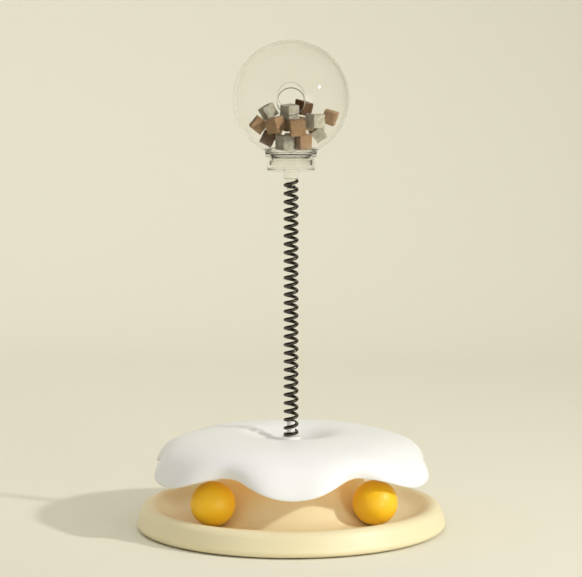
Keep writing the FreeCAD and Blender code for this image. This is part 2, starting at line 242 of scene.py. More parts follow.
# %% [markdown]
# ## The floor and the light
#
# The toy stands in a plain studio, on a pale floor that bends up into a backdrop. A backdrop could
# stand on every side, but then it would hide the toy from half of them. So floor and backdrop are
# opaque from their front only, and see-through from behind and below.
#
# - A small lamp at the right gives the dish its bright right side and the shadows their edges.
# - A wide, low lamp at the front reaches in under the cover.
# - A lamp above lights the backdrop.
# - A small warm lamp below the cover stands in for the light that the orange balls and the cream
#   track throw back and forth.
# - The sky gives a weak even light. In gloss and metal it is bright at the horizon and dark above,
#   as in a studio with white walls and a dark ceiling.
#
# No lamp is seen itself, but the first two show in gloss. The beams of the first three are kept
# narrow, as with a grid in front of a soft box, so that the floor round the toy stays plain.

# %% Floor and backdrop
floor_half = 40.0
backdrop_y = 1.6
backdrop_bend = 0.7
backdrop_height = 3.0

clear_selection()
bpy.ops.mesh.primitive_plane_add(size=2, location=(0, 0, 0))
floor = bpy.context.object
floor.name = "studio_floor"
floor.scale = (floor_half, floor_half, 1)
settle(floor)
open_piece(floor)
pick(floor, lambda v: v.co.y > 0)
bpy.ops.transform.translate(value=(0, backdrop_y - floor_half, 0))
bpy.ops.mesh.extrude_region_move(TRANSFORM_OT_translate={"value": (0, 0, backdrop_height)})
pick(floor, lambda e: all(abs(v.co.y - backdrop_y) < mm and abs(v.co.z) < mm for v in e.verts), "EDGE")
bpy.ops.mesh.bevel(offset=backdrop_bend, segments=24, affect="EDGES")
close_piece()
bpy.ops.object.shade_smooth()
print("floor faces:", len(floor.data.polygons))

# %% Floor paint
floor_colour = (0.79, 0.762, 0.645, 1)

floor_paint = bpy.data.materials.new("studio_floor")
floor_paint.use_nodes = True
floor_tree = floor_paint.node_tree
floor_shader = floor_tree.nodes["Principled BSDF"]
floor_shader.inputs["Base Color"].default_value = floor_colour
floor_shader.inputs["Roughness"].default_value = 0.9
floor_shader.inputs["Specular IOR Level"].default_value = 0.2
side = node(floor_tree, "ShaderNodeNewGeometry")
from_behind = node(floor_tree, "ShaderNodeBsdfTransparent")
one_way = node(floor_tree, "ShaderNodeMixShader")
floor_tree.links.new(side.outputs["Backfacing"], one_way.inputs["Fac"])
floor_tree.links.new(floor_shader.outputs["BSDF"], one_way.inputs[1])
floor_tree.links.new(from_behind.outputs["BSDF"], one_way.inputs[2])
floor_tree.links.new(one_way.outputs["Shader"], floor_tree.nodes["Material Output"].inputs["Surface"])
floor.data.materials.append(floor_paint)
print("floor paint:", floor_paint.name, floor_colour[:3])


# %% Lamps
def add_lamp(name, place, aim, size, power, colour, mirrored=True, spread=180):
    """A round soft lamp that looks at a point. Its beam fans out by an angle, in degrees.

    Unless it is mirrored, no gloss shows it.
    """
    data = bpy.data.lights.new(name, "AREA")
    data.shape = "DISK"
    data.size = size
    data.energy = power
    data.spread = math.radians(spread)
    data.color = colour
    lamp = bpy.data.objects.new(name, data)
    lamp.location = place
    lamp.rotation_euler = (Vector(aim) - Vector(place)).to_track_quat("-Z", "Y").to_euler()
    lamp.visible_glossy = mirrored
    lamp.visible_camera = False
    lamp.visible_transmission = False
    bpy.context.scene.collection.objects.link(lamp)


toy_middle = (0, 0, 0.15)
warm_white = (1.0, 0.99, 0.97)
add_lamp("key_lamp", place=(1.7, -0.9, 1.15), aim=toy_middle, size=0.13, power=6.4,
         colour=(1.0, 0.985, 0.94), spread=90)
add_lamp("fill_lamp", place=(1.5, -2.3, 0.34), aim=toy_middle, size=0.9, power=1.35,
         colour=warm_white, spread=50)
add_lamp("backdrop_lamp", place=(-0.7, 0.3, 2.6), aim=(-0.4, 1.5, 0.3), size=1.8, power=9.2,
         colour=warm_white, mirrored=False, spread=120)
add_lamp("under_cover_glow", place=(0, 0, 0.064), aim=(0, 0, 0), size=0.15, power=0.042,
         colour=(1.0, 0.45, 0.06), mirrored=False)

# %% Sky
sky_colour = (1.0, 0.985, 0.925, 1)
# each sky's strength at the horizon, its strength high up, and the height where it reaches that
sky_light = (0.59, 0.57, 0.9)
sky_mirrored = (0.95, 0.03, 0.38)

world = bpy.data.worlds.new("studio")
bpy.context.scene.world = world
world.use_nodes = True
sky_tree = world.node_tree
sky = sky_tree.nodes["Background"]
sky.inputs["Color"].default_value = sky_colour
direction = node(sky_tree, "ShaderNodeTexCoord")
parts = node(sky_tree, "ShaderNodeSeparateXYZ")
path = node(sky_tree, "ShaderNodeLightPath")
strength = node(sky_tree, "ShaderNodeMix")
sky_tree.links.new(direction.outputs["Generated"], parts.inputs["Vector"])
sky_tree.links.new(path.outputs["Is Glossy Ray"], strength.inputs["Factor"])
for name, (low, high, top) in (("A", sky_light), ("B", sky_mirrored)):
    fade = node(sky_tree, "ShaderNodeMapRange")
    fade.inputs["From Max"].default_value = top
    fade.inputs["To Min"].default_value = low
    fade.inputs["To Max"].default_value = high
    sky_tree.links.new(parts.outputs["Z"], fade.inputs["Value"])
    sky_tree.links.new(fade.outputs["Result"], strength.inputs[name])
sky_tree.links.new(strength.outputs["Result"], sky.inputs["Strength"])
bpy.context.scene.view_settings.view_transform = "Standard"
print("sky at the horizon and above:", sky_light[:2], "in gloss:", sky_mirrored[:2])

# %% [markdown]
# ## Finishes that several pieces share
#
# Moulded plastic is never one flat colour. Its gloss wanders a little, its surface has a very fine
# grain from the mould, and it looks a touch deeper where the wall is thick; the group gives that as broad
# random patches. Each plastic could have its own noise nodes, but they would soon differ. So one node group
# makes those three, and hands them to each plastic's own shader with its own values.
#
# A noise pattern lies mostly between 0.3 and 0.7, so that range is the one that is spread out.


# %% Node helpers
def new_group(name, inputs, outputs):
    """An empty shader group with named sockets: (name, kind, first value)."""
    group = bpy.data.node_groups.new(name, "ShaderNodeTree")
    for label, kind, value in inputs:
        socket = group.interface.new_socket(name=label, in_out="INPUT", socket_type=kind)
        socket.default_value = value
    for label, kind in outputs:
        group.interface.new_socket(name=label, in_out="OUTPUT", socket_type=kind)
    return group, group.nodes.new("NodeGroupInput"), group.nodes.new("NodeGroupOutput")


def noise_at(tree, place, scale, detail=3.0, roughness=0.5):
    """A noise pattern read at a place in the piece. Scale is in waves per metre."""
    pattern = node(tree, "ShaderNodeTexNoise")
    pattern.inputs["Detail"].default_value = detail
    pattern.inputs["Roughness"].default_value = roughness
    tree.links.new(place, pattern.inputs["Vector"])
    if isinstance(scale, (int, float)):
        pattern.inputs["Scale"].default_value = scale
    else:
        tree.links.new(scale, pattern.inputs["Scale"])
    return pattern.outputs["Fac"]


def between(tree, value, low, high, to_low, to_high):
    """Carries a value from one range to another."""
    spread = node(tree, "ShaderNodeMapRange")
    for name, amount in (("From Min", low), ("From Max", high), ("To Min", to_low), ("To Max", to_high)):
        if isinstance(amount, (int, float)):
            spread.inputs[name].default_value = amount
        else:
            tree.links.new(amount, spread.inputs[name])
    tree.links.new(value, spread.inputs["Value"])
    return spread.outputs["Result"]


def mix_colours(tree, share, first, second):
    """Blends two colours that other nodes put out."""
    blend = node(tree, "ShaderNodeMix", data_type="RGBA")
    tree.links.new(share, blend.inputs["Factor"])
    tree.links.new(first, blend.inputs["A"])
    tree.links.new(second, blend.inputs["B"])
    return blend.outputs["Result"]


print("node helpers ready")

# %% Moulded plastic group
plastic_group, given, result = new_group(
    "Moulded Plastic",
    [("Color", "NodeSocketColor", (0.8, 0.8, 0.8, 1)),
     ("Deep Color", "NodeSocketColor", (0.7, 0.7, 0.7, 1)),
     ("Roughness", "NodeSocketFloat", 0.4),
     ("Gloss Drift", "NodeSocketFloat", 0.06)],
    [("Color", "NodeSocketColor"), ("Roughness", "NodeSocketFloat"), ("Height", "NodeSocketFloat")])
place = node(plastic_group, "ShaderNodeTexCoord").outputs["Object"]
cloud = noise_at(plastic_group, place, scale=14.0, detail=2.0)
share = between(plastic_group, cloud, 0.35, 0.7, 0.0, 1.0)
tint = mix_colours(plastic_group, share, given.outputs["Color"], given.outputs["Deep Color"])
drift = noise_at(plastic_group, place, scale=60.0, detail=4.0)
swing = node(plastic_group, "ShaderNodeMath", operation="MULTIPLY_ADD")
centred = between(plastic_group, drift, 0.3, 0.7, -1.0, 1.0)
plastic_group.links.new(centred, swing.inputs[0])
plastic_group.links.new(given.outputs["Gloss Drift"], swing.inputs[1])
plastic_group.links.new(given.outputs["Roughness"], swing.inputs[2])
grain = noise_at(plastic_group, place, scale=2600.0, detail=2.0, roughness=0.6)
plastic_group.links.new(tint, result.inputs["Color"])
plastic_group.links.new(swing.outputs[0], result.inputs["Roughness"])
plastic_group.links.new(grain, result.inputs["Height"])
print("group:", plastic_group.name)

# %% Plastics
plastic_index = 1.49
grain_depth = 0.1 * mm


def plastic(name, colour, deep, roughness, drift=0.05, grain=0.02):
    """Opaque moulded plastic, with its own shader around the shared group."""
    material = bpy.data.materials.new(name)
    material.use_nodes = True
    tree = material.node_tree
    shader = tree.nodes["Principled BSDF"]
    skin = node(tree, "ShaderNodeGroup", node_tree=plastic_group)
    skin.inputs["Color"].default_value = (*colour, 1)
    skin.inputs["Deep Color"].default_value = (*deep, 1)
    skin.inputs["Roughness"].default_value = roughness
    skin.inputs["Gloss Drift"].default_value = drift
    bump = node(tree, "ShaderNodeBump")
    bump.inputs["Strength"].default_value = grain
    bump.inputs["Distance"].default_value = grain_depth
    tree.links.new(skin.outputs["Height"], bump.inputs["Height"])
    tree.links.new(skin.outputs["Color"], shader.inputs["Base Color"])
    tree.links.new(skin.outputs["Roughness"], shader.inputs["Roughness"])
    tree.links.new(bump.outputs["Normal"], shader.inputs["Normal"])
    shader.inputs["IOR"].default_value = plastic_index
    return material


tray_plastic = plastic("tray_cream", colour=(0.80, 0.718, 0.472), deep=(0.78, 0.69, 0.44), roughness=0.4)
plate_plastic = plastic("plate_cream", colour=(0.74, 0.62, 0.37), deep=(0.70, 0.58, 0.34),
                        roughness=0.55, drift=0.08, grain=0.05)
cover_plastic = plastic("cover_white", colour=(0.825, 0.823, 0.818), deep=(0.815, 0.812, 0.806),
                        roughness=0.38)
socket_plastic = plastic("socket_white", colour=(0.86, 0.85, 0.825), deep=(0.85, 0.84, 0.81),
                         roughness=0.35)
ball_plastic = plastic("ball_yolk", colour=(0.95, 0.555, 0.013), deep=(0.93, 0.52, 0.010), roughness=0.42)
plastics = (tray_plastic, plate_plastic, cover_plastic, socket_plastic, ball_plastic)
print("plastics:", [material.name for material in plastics])

# %% [markdown]
# ## Clear plastic
#
# The globe and the cap are clear mouldings with walls of about 2 mm. Light goes straight through
# them, so for shadow rays the shader gives way to a plain see-through one. Otherwise the walls
# would throw the dark shadow of a stone, and the food inside would lie in the dark.
#
# Clear plastic bends light with an index of about 1.49. Two smooth walls with that index bend the
# view so much that dark rings appear in the globe. The real one shows none, so the index is lower.

# %% Clear plastics
clear_index = 1.18
shadow_tint = (0.98, 0.98, 0.975, 1)


def clear_plastic(name, colour, roughness):
    """See-through plastic that lets light pass straight on into its shadow."""
    material = bpy.data.materials.new(name)
    material.use_nodes = True
    tree = material.node_tree
    shader = tree.nodes["Principled BSDF"]
    shader.inputs["Base Color"].default_value = (*colour, 1)
    shader.inputs["Roughness"].default_value = roughness
    shader.inputs["IOR"].default_value = clear_index
    shader.inputs["Transmission Weight"].default_value = 1.0
    open_air = node(tree, "ShaderNodeBsdfTransparent")
    open_air.inputs["Color"].default_value = shadow_tint
    path = node(tree, "ShaderNodeLightPath")
    choice = node(tree, "ShaderNodeMixShader")
    tree.links.new(path.outputs["Is Shadow Ray"], choice.inputs["Fac"])
    tree.links.new(shader.outputs["BSDF"], choice.inputs[1])
    tree.links.new(open_air.outputs["BSDF"], choice.inputs[2])
    tree.links.new(choice.outputs["Shader"], tree.nodes["Material Output"].inputs["Surface"])
    return material


globe_clear = clear_plastic("clear_globe", colour=(0.99, 0.99, 0.98), roughness=0.02)
cap_clear = clear_plastic("clear_cap", colour=(0.985, 0.98, 0.97), roughness=0.03)
print("clear plastics:", globe_clear.name, cap_clear.name)

# %% [markdown]
# ## Metal and rubber
#
# The spring is dark steel, the screws are bright steel, and seal and feet are rubber. Each is one
# colour with a fine unevenness: a little darker and a little glossier in spots. A second node
# group makes that, and the four materials differ only in the values they give it.

# %% Fine unevenness group
uneven_group, given, result = new_group(
    "Fine Unevenness",
    [("Color", "NodeSocketColor", (0.5, 0.5, 0.5, 1)),
     ("Dark Color", "NodeSocketColor", (0.4, 0.4, 0.4, 1)),
     ("Least Roughness", "NodeSocketFloat", 0.3),
     ("Most Roughness", "NodeSocketFloat", 0.5),
     ("Spots", "NodeSocketFloat", 500.0)],
    [("Color", "NodeSocketColor"), ("Roughness", "NodeSocketFloat")])
place = node(uneven_group, "ShaderNodeTexCoord").outputs["Object"]
spots = noise_at(uneven_group, place, scale=given.outputs["Spots"], detail=3.0)
tint = mix_colours(uneven_group, spots, given.outputs["Dark Color"], given.outputs["Color"])
gloss = between(uneven_group, spots, 0.3, 0.7,
                given.outputs["Least Roughness"], given.outputs["Most Roughness"])
uneven_group.links.new(tint, result.inputs["Color"])
uneven_group.links.new(gloss, result.inputs["Roughness"])
print("group:", uneven_group.name)

# %% Metals and rubbers
dark_share = 0.82


def uneven(name, colour, roughness, metallic, spots, drift):
    """Metal or rubber whose colour and gloss vary in fine spots."""
    material = bpy.data.materials.new(name)
    material.use_nodes = True
    tree = material.node_tree
    shader = tree.nodes["Principled BSDF"]
    skin = node(tree, "ShaderNodeGroup", node_tree=uneven_group)
    skin.inputs["Color"].default_value = (*colour, 1)
    skin.inputs["Dark Color"].default_value = (*(c * dark_share for c in colour), 1)
    skin.inputs["Least Roughness"].default_value = roughness - drift
    skin.inputs["Most Roughness"].default_value = roughness + drift
    skin.inputs["Spots"].default_value = spots
    tree.links.new(skin.outputs["Color"], shader.inputs["Base Color"])
    tree.links.new(skin.outputs["Roughness"], shader.inputs["Roughness"])
    shader.inputs["Metallic"].default_value = metallic
    return material


spring_steel = uneven("spring_steel", colour=(0.09, 0.081, 0.064), roughness=0.2, metallic=1.0,
                      spots=900.0, drift=0.05)
screw_steel = uneven("screw_steel", colour=(0.55, 0.55, 0.56), roughness=0.3, metallic=1.0,
                     spots=700.0, drift=0.08)
seal_rubber = uneven("seal_black", colour=(0.03, 0.028, 0.025), roughness=0.6, metallic=0.0,
                     spots=500.0, drift=0.08)
foot_rubber = uneven("foot_rubber", colour=(0.30, 0.28, 0.23), roughness=0.75, metallic=0.0,
                     spots=400.0, drift=0.06)
print("metals:", spring_steel.name, screw_steel.name, "rubbers:", seal_rubber.name, foot_rubber.name)

# %% [markdown]
# ## Pieces that keep their measured shape
#
# The plate, the feet, the screws and the washer are flat, hidden or both. They could be modelled
# again as well, but nothing would be gained: their measured shape is already the right one. So
# they only get their finish.


# %% Finish of the measured pieces
def finish_node(name, material):
    """Gives a measured piece its finish and leaves its shape as it is."""
    nodes[name].data.materials.clear()
    nodes[name].data.materials.append(material)


foot_names = [name for name in nodes if name.startswith("foot_")]
steel_names = ["plate_screws", "socket_screw", "socket_washer"]
finish_node("base_plate", plate_plastic)
for name in foot_names:
    finish_node(name, foot_rubber)
for name in steel_names:
    finish_node(name, screw_steel)
print("measured pieces finished:", ["base_plate"] + foot_names + steel_names)

# %% [markdown]
# ## The dish
#
# The dish is one thin moulding: a soft rim, a ring track with round flanks that fits the balls,
# a hub that climbs at 50 degrees, and a post for the cover. Both of its skins could be drawn, but
# they would have to be kept apart by hand all the way round. So only the outer one is drawn on the
# lathe. Solidify then gives it its wall, and it is hollow below, where a plate closes it.

# %% Dish
tray_low, tray_high = (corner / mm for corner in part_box("base_tray"))
ball_low, ball_high = (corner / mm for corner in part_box("ball_left"))
base_bottom = tray_low.z
post_top = tray_high.z
ball_radius = (ball_high.z - ball_low.z) / 2
ball_gap = 0.3
track_floor = ball_low.z - ball_gap
base_radius = 127.3
base_wall = 3.0
rim_top = 20.6
rim_inset = 6.3
rim_width = 8.5
track_bank = 22.5
track_half_width = 10.0
track_slack = 2.0
bank_rounding = 30.0
rim_rounding = 8.0
rim_inner_rounding = 10.0
heel_rounding = 4.0
hub_rounding = 12.0
hub_slope = math.radians(50)
post_radius = 17.0
post_height = 8.0
post_rounding = 1.5
post_fillet = 0.4
plate_edge = 117.3
track_radius = base_radius - rim_inset - rim_width - track_bank
hub_top = post_top - post_height
hub_run = (hub_top - track_floor) / math.tan(hub_slope)

tray = lathe("dish", [
    (plate_edge, base_bottom, 0),
    (base_radius, base_bottom, heel_rounding),
    (base_radius - rim_inset, rim_top, rim_rounding),
    (base_radius - rim_inset - rim_width, rim_top, rim_inner_rounding),
    (track_radius + track_half_width, track_floor, bank_rounding),
    (track_radius - track_half_width, track_floor, ball_radius + track_slack),
    (track_radius - track_half_width - hub_run, hub_top, hub_rounding),
    (post_radius, hub_top, post_fillet),
    (post_radius, post_top, post_rounding),
    (0, post_top, 0),
], sides=192)
add_modifier(tray, "SOLIDIFY", thickness=base_wall * mm, offset=-1, use_even_offset=True)
harden(tray)
dress(tray, "base_tray", "base", tray_plastic)

# %% [markdown]
# ## The balls
#
# A hollow plastic ball is welded from two halves. The weld is sanded, and all that stays is a
# hairline round the ball. It could be painted on, but light catches a real groove better. So the
# sphere's equator is bevelled into a narrow band, and the middle of the band is drawn in a little.

# %% Balls
weld_width = 0.2 * mm
weld_depth = 0.08 * mm
touching = 0.01 * mm


def track_ball(cad_name, tilt):
    """A ball with a hairline weld round it, tilted as it came to rest."""
    low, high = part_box(cad_name)
    radius = (high.z - low.z) / 2
    clear_selection()
    bpy.ops.mesh.primitive_uv_sphere_add(segments=80, ring_count=40, radius=radius)
    piece = bpy.context.object
    piece.name = cad_name + "_shell"
    open_piece(piece)
    pick(piece, lambda e: all(abs(v.co.z) < touching for v in e.verts), "EDGE")
    bpy.ops.mesh.bevel(offset=weld_width, segments=2, affect="EDGES")
    pick(piece, lambda v: abs(v.co.z) < touching)
    waist = 1 - weld_depth / radius
    bpy.ops.transform.resize(value=(waist, waist, 1))
    close_piece()
    bpy.ops.object.shade_smooth()
    piece.rotation_euler = tilt
    piece.location = (low + high) / 2
    settle(piece)
    dress(piece, cad_name, cad_name, ball_plastic)


track_ball("ball_left", (math.radians(62), math.radians(20), 0))
track_ball("ball_right", (math.radians(-38), math.radians(-55), 0))
print("balls of", round(2 * ball_radius, 1), "mm")

# %% [markdown]
# ## The egg-white cover
#
# The cover is the freest form of the toy: a soft pillow with a dimple in the middle and an edge of
# six lobes that reach out and hang down, with six arches between them. It could be sculpted, but
# then no two lobes would be alike, and its wall would be thick here and thin there. So it is built
# as a coarse cage of rings.
#
# 1. A circle of 36 vertices is the rim of the hole in the middle.
# 2. It is extruded ring after ring: over the pillow, round the edge, back along the underside, and
#    down and up the tube that fits the dish's post.
# 3. Six vertices of each ring lie in the same place on the six lobes. They are moved together.
# 4. Subdivision turns the cage into the smooth skin.
#
# A subdivided cage lies inside its corners. So the rings are drawn a little larger than the skin
# should be, and the lobes a good deal larger, because a short wave shrinks more than a long one.

# %% Cover sizes
cover_wall = 3.0
seat_height = 71.0
crest_height = 79.0
crest_radius = 46.0
cover_overhang = 21.7
edge_radius = track_radius + cover_overhang
edge_height = 52.0
lobe_count = 6
points_per_lobe = 6
lobe_reach = 8.3
lobe_fullness = 2.7
lobe_drop = 6.1
lobe_turn = math.radians(0.8)
boss_radius = 7.65
stem_hole = 4.95
tube_outer = 19.9
tube_inner = 17.3
tube_gap = 0.25
ring_count = lobe_count * points_per_lobe
print("cover:", round(2 * edge_radius, 1), "mm across the middle of its edge,", lobe_count, "lobes")


# %% Rings of the cover's cage
def swell(waves):
    """How much larger than the skin a ring's cage must be, for so many waves round it."""
    return 3 / (2 + math.cos(math.tau * waves / ring_count))


def pillow_rows():
    """Rings of the cover's top as (radius, height, share of the lobes), from the dimple outwards."""
    dip = crest_height - seat_height
    fall = crest_height - edge_height
    width = edge_radius - crest_radius
    return [
        (boss_radius * 1.6, seat_height, 0),
        (crest_radius * 0.45, crest_height - dip * 0.80, 0),
        (crest_radius * 0.63, crest_height - dip * 0.32, 0),
        (crest_radius * 0.82, crest_height - dip * 0.02, 0),
        (crest_radius, crest_height + dip * 0.05, 0),
        (crest_radius + width * 0.20, crest_height - fall * 0.02, 0),
        (crest_radius + width * 0.42, crest_height - fall * 0.08, 0),
        (crest_radius + width * 0.62, crest_height - fall * 0.18, 0.08),
        (crest_radius + width * 0.80, crest_height - fall * 0.34, 0.22),
        (crest_radius + width * 0.92, crest_height - fall * 0.58, 0.45),
        (crest_radius + width * 0.98, crest_height - fall * 0.82, 0.75),
        (edge_radius, edge_height, 1),
    ]


def inset_rows(rows, depth):
    """The same rings moved inwards by the wall, square to the section."""
    moved = []
    for i, (radius, height, share) in enumerate(rows):
        before = rows[max(i - 1, 0)]
        after = rows[min(i + 1, len(rows) - 1)]
        run = after[0] - before[0]
        rise = after[1] - before[1]
        length = math.hypot(run, rise)
        moved.append((radius + depth * rise / length, height - depth * run / length, share))
    return moved


tube_foot = hub_top + tube_gap
top_rows = pillow_rows()
lip_rows = [(edge_radius - cover_wall * 0.1, edge_height - cover_wall * 0.6, 1),
            (edge_radius - cover_wall * 0.9, edge_height - cover_wall * 0.6, 1)]
under_rows = inset_rows(top_rows, cover_wall)[:1:-1]
ceiling = seat_height - cover_wall
tube_rows = [(tube_outer + 1.6, ceiling + 1.75, 0), (tube_outer, ceiling + 0.6, 0),
             (tube_outer, tube_foot + 0.8, 0), (tube_outer - 0.3, tube_foot, 0),
             (tube_inner + 0.3, tube_foot, 0), (tube_inner, tube_foot + 0.8, 0),
             (tube_inner, ceiling - 0.4, 0), (tube_inner - 0.5, ceiling, 0),
             (stem_hole + 0.4, ceiling, 0), (stem_hole, ceiling + 0.5, 0),
             (stem_hole, seat_height - 0.4, 0), (stem_hole + 0.4, seat_height, 0)]
all_rows = [tube_rows[-1]] + top_rows + lip_rows + under_rows + tube_rows
print("rings in the cage:", len(all_rows), "with", ring_count, "vertices each")

# %% Cover cage
clear_selection()
bpy.ops.mesh.primitive_circle_add(vertices=ring_count, radius=all_rows[0][0] * swell(1) * mm,
                                  location=(0, 0, all_rows[0][1] * mm))
cover = bpy.context.object
cover.name = "egg_white"
settle(cover)
open_piece(cover)
bpy.ops.mesh.select_all(action="SELECT")
for here, there in zip(all_rows, all_rows[1:]):
    bpy.ops.mesh.extrude_region_move(TRANSFORM_OT_translate={"value": (0, 0, (there[1] - here[1]) * mm)})
    bpy.ops.transform.resize(value=(there[0] / here[0], there[0] / here[0], 1))
print("faces in the cage:", len(bmesh.from_edit_mesh(cover.data).faces))


# %% Cover lobes
def phase(vertex):
    """Which of the six places along a lobe a vertex stands at. 0 is the tip."""
    from_front = math.atan2(vertex.co.x, -vertex.co.y)
    return round(from_front / math.tau * ring_count) % points_per_lobe


cage_reach = lobe_reach * swell(lobe_count)
cage_fullness = lobe_fullness * swell(2 * lobe_count)
cage_drop = lobe_drop * swell(lobe_count)
for row, (radius, _, share) in enumerate(all_rows):
    if not share:
        continue
    for step in range(points_per_lobe):
        wave = math.tau * step / points_per_lobe
        reach = cage_reach * math.cos(wave) - cage_fullness * math.cos(2 * wave)
        drop = cage_drop * math.cos(wave)
        pick(cover, lambda v: v.index // ring_count == row and phase(v) == step)
        stretch = 1 + share * reach / (radius * swell(1))
        bpy.ops.transform.resize(value=(stretch, stretch, 1))
        bpy.ops.transform.translate(value=(0, 0, -share * drop * mm))
bpy.ops.mesh.select_all(action="SELECT")
bpy.ops.mesh.remove_doubles(threshold=merge_gap)
bpy.ops.mesh.normals_make_consistent(inside=False)
close_piece()
add_modifier(cover, "SUBSURF", levels=3, render_levels=3)
cover.rotation_euler.z = lobe_turn
settle(cover)
clear_selection()
cover.select_set(True)
bpy.ops.object.shade_smooth()
dress(cover, "cover", "cover", cover_plastic)
print("cover faces:", len(cover.data.polygons))

# %% [markdown]
# ## The spring's socket
#
# A small white boss stands in the dimple. Its stem goes down through the cover to a screw, and its
# spigot goes up inside the lowest coils and holds them. The three could be three cylinders, but a
# real one is a single moulding, so one outline is turned, with the bore for the screw inside it.

# %% Spring socket
socket_low, socket_high = (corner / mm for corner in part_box("spring_socket"))
stem_radius = 4.8
boss_height = 4.2
boss_top = seat_height + boss_height
spigot_radius = 3.3
spigot_rounding = 1.0
screw_bore = 1.55
screw_bore_top = seat_height + 10.0
soft_edge = 0.6
crisp_edge = 0.3
sharp_edge = 0.2
socket = lathe("socket_boss", [
    (screw_bore, socket_low.z, 0),
    (stem_radius, socket_low.z, crisp_edge),
    (stem_radius, seat_height, 0),
    (boss_radius, seat_height, sharp_edge),
    (boss_radius, boss_top, soft_edge),
    (spigot_radius, boss_top, crisp_edge),
    (spigot_radius, socket_high.z, spigot_rounding),
    (0, socket_high.z, 0),
    (0, screw_bore_top, 0),
    (screw_bore, screw_bore_top, 0),
    (screw_bore, socket_low.z, 0),
], sides=96)
harden(socket)
dress(socket, "spring_socket", "cover", socket_plastic)

# %% [markdown]
# ## The cap and its seal
#
# The cap is a clear cup with a lip. Its stub and spigot below hold the top of the spring, and a
# dark ring seals it to the globe. Light shows every wall of a clear piece, the inner ones too, so
# the cup's inside is part of the turned outline and not a hole that is cut into it afterwards.

# %% Cap
cap_low, cap_high = (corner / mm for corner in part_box("cap"))
cap_height = 13.8
cap_floor = 2.0
cap_radius = 19.3
cup_radius = 17.5
cup_fillet = 0.4
lip_radius = cap_high.x
lip_height = 2.5
stub_length = 7.0
stub_radius = 5.7
cap_bottom = cap_high.z - cap_height
stub_bottom = cap_bottom - stub_length
cap = lathe("cap_cup", [
    (0, cap_low.z, 0),
    (spigot_radius, cap_low.z, spigot_rounding),
    (spigot_radius, stub_bottom, sharp_edge),
    (stub_radius, stub_bottom, soft_edge),
    (stub_radius, cap_bottom, soft_edge),
    (cap_radius, cap_bottom, soft_edge),
    (cap_radius, cap_high.z - lip_height, crisp_edge),
    (lip_radius, cap_high.z - lip_height, crisp_edge),
    (lip_radius, cap_high.z, soft_edge),
    (cup_radius, cap_high.z, crisp_edge),
    (cup_radius, cap_bottom + cap_floor, cup_fillet),
    (0, cap_bottom + cap_floor, 0),
], sides=128)
harden(cap)
dress(cap, "cap", "cap", cap_clear)

# %% Seal
seal_low, seal_high = (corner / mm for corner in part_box("cap_seal"))
seal_rounding = 0.25
seal = lathe("cap_ring", [
    (cup_radius, seal_low.z, 0),
    (seal_high.x, seal_low.z, seal_rounding),
    (seal_high.x, seal_high.z, seal_rounding),
    (cup_radius, seal_high.z, seal_rounding),
    (cup_radius, seal_low.z, 0),
], sides=128)
harden(seal)
dress(seal, "cap_seal", "cap", seal_rubber)

# %% [markdown]
# ## The clear globe
#
# The globe is blown or moulded with an even wall, and food falls out of a hole at the front and one
# at the back. Solidify would give the wall but not the thick floor, and a Boolean would leave
# ragged faces that show in clear plastic. So two spheres make the wall, one inside the other.
#
# 1. Both are cut open with Bisect: the two leak holes, and a flat cut at the bottom.
# 2. The outer one's cut goes on as flange and neck. The inner one's cut is closed as a floor.
# 3. Bridge joins the rims of the holes, and a bevel rounds them.
#
# The spheres lie with their poles to front and back, so that each hole's rim is one even ring.

# %% Globe sizes
globe_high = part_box("globe")[1] / mm
globe_radius = globe_high.x
globe_wall = 2.5
globe_middle = globe_high.z - globe_radius
foot_radius = 21.2
flange = 1.3
foot_height = globe_middle - math.sqrt(globe_radius ** 2 - foot_radius ** 2)
globe_bottom = foot_height - flange
globe_floor = 2.2
cavity_bottom = globe_bottom + globe_floor
neck_radius = 17.3
neck_wall = 1.6
neck_length = 10
neck_bore = neck_radius - neck_wall
leak_radius = 10.5
leak_rounding = 0.7
cut_slack = 0.001 * mm
print("globe from", round(globe_bottom, 1), "to", round(globe_high.z, 1), "mm,",
      "leak holes of", 2 * leak_radius, "mm")


# %% Cutting and closing a sphere
def cut_sphere(name, radius, cut_height):
    """A sphere with a hole at the front and back and its bottom cut off, left open for editing."""
    clear_selection()
    bpy.ops.mesh.primitive_uv_sphere_add(segments=128, ring_count=64, radius=radius * mm,
                                         location=(0, 0, globe_middle * mm), rotation=(math.pi / 2, 0, 0))
    sphere = bpy.context.object
    sphere.name = name
    settle(sphere)
    open_piece(sphere)
    hole_depth = math.sqrt(radius ** 2 - leak_radius ** 2) * mm
    cuts = [((0, side * hole_depth, 0), (0, side, 0)) for side in (-1, 1)]
    cuts.append(((0, 0, cut_height * mm), (0, 0, -1)))
    for place, away in cuts:
        bpy.ops.mesh.select_all(action="SELECT")
        bpy.ops.mesh.bisect(plane_co=place, plane_no=away, clear_outer=True, threshold=cut_slack)
    return sphere


def pick_rim(piece, height, slack):
    """Picks the open edges that lie at a height, give or take some slack. Both are in metres."""
    def on_rim(edge):
        return edge.is_boundary and all(abs(v.co.z - height) < slack for v in edge.verts)

    pick(piece, on_rim, "EDGE")


def step_ring(radius_from, radius_to, rise):
    """Extrudes the chosen ring to another radius and height."""
    scale = radius_to / radius_from
    bpy.ops.mesh.extrude_region_move(TRANSFORM_OT_translate={"value": (0, 0, rise * mm)})
    bpy.ops.transform.resize(value=(scale, scale, 1))


def close_ring():
    """Closes the chosen ring with a fan of faces round its middle."""
    bpy.ops.mesh.extrude_region_move(TRANSFORM_OT_translate={"value": (0, 0, 0)})
    bpy.ops.mesh.merge(type="CENTER")
    close_piece()


print("sphere helpers ready")

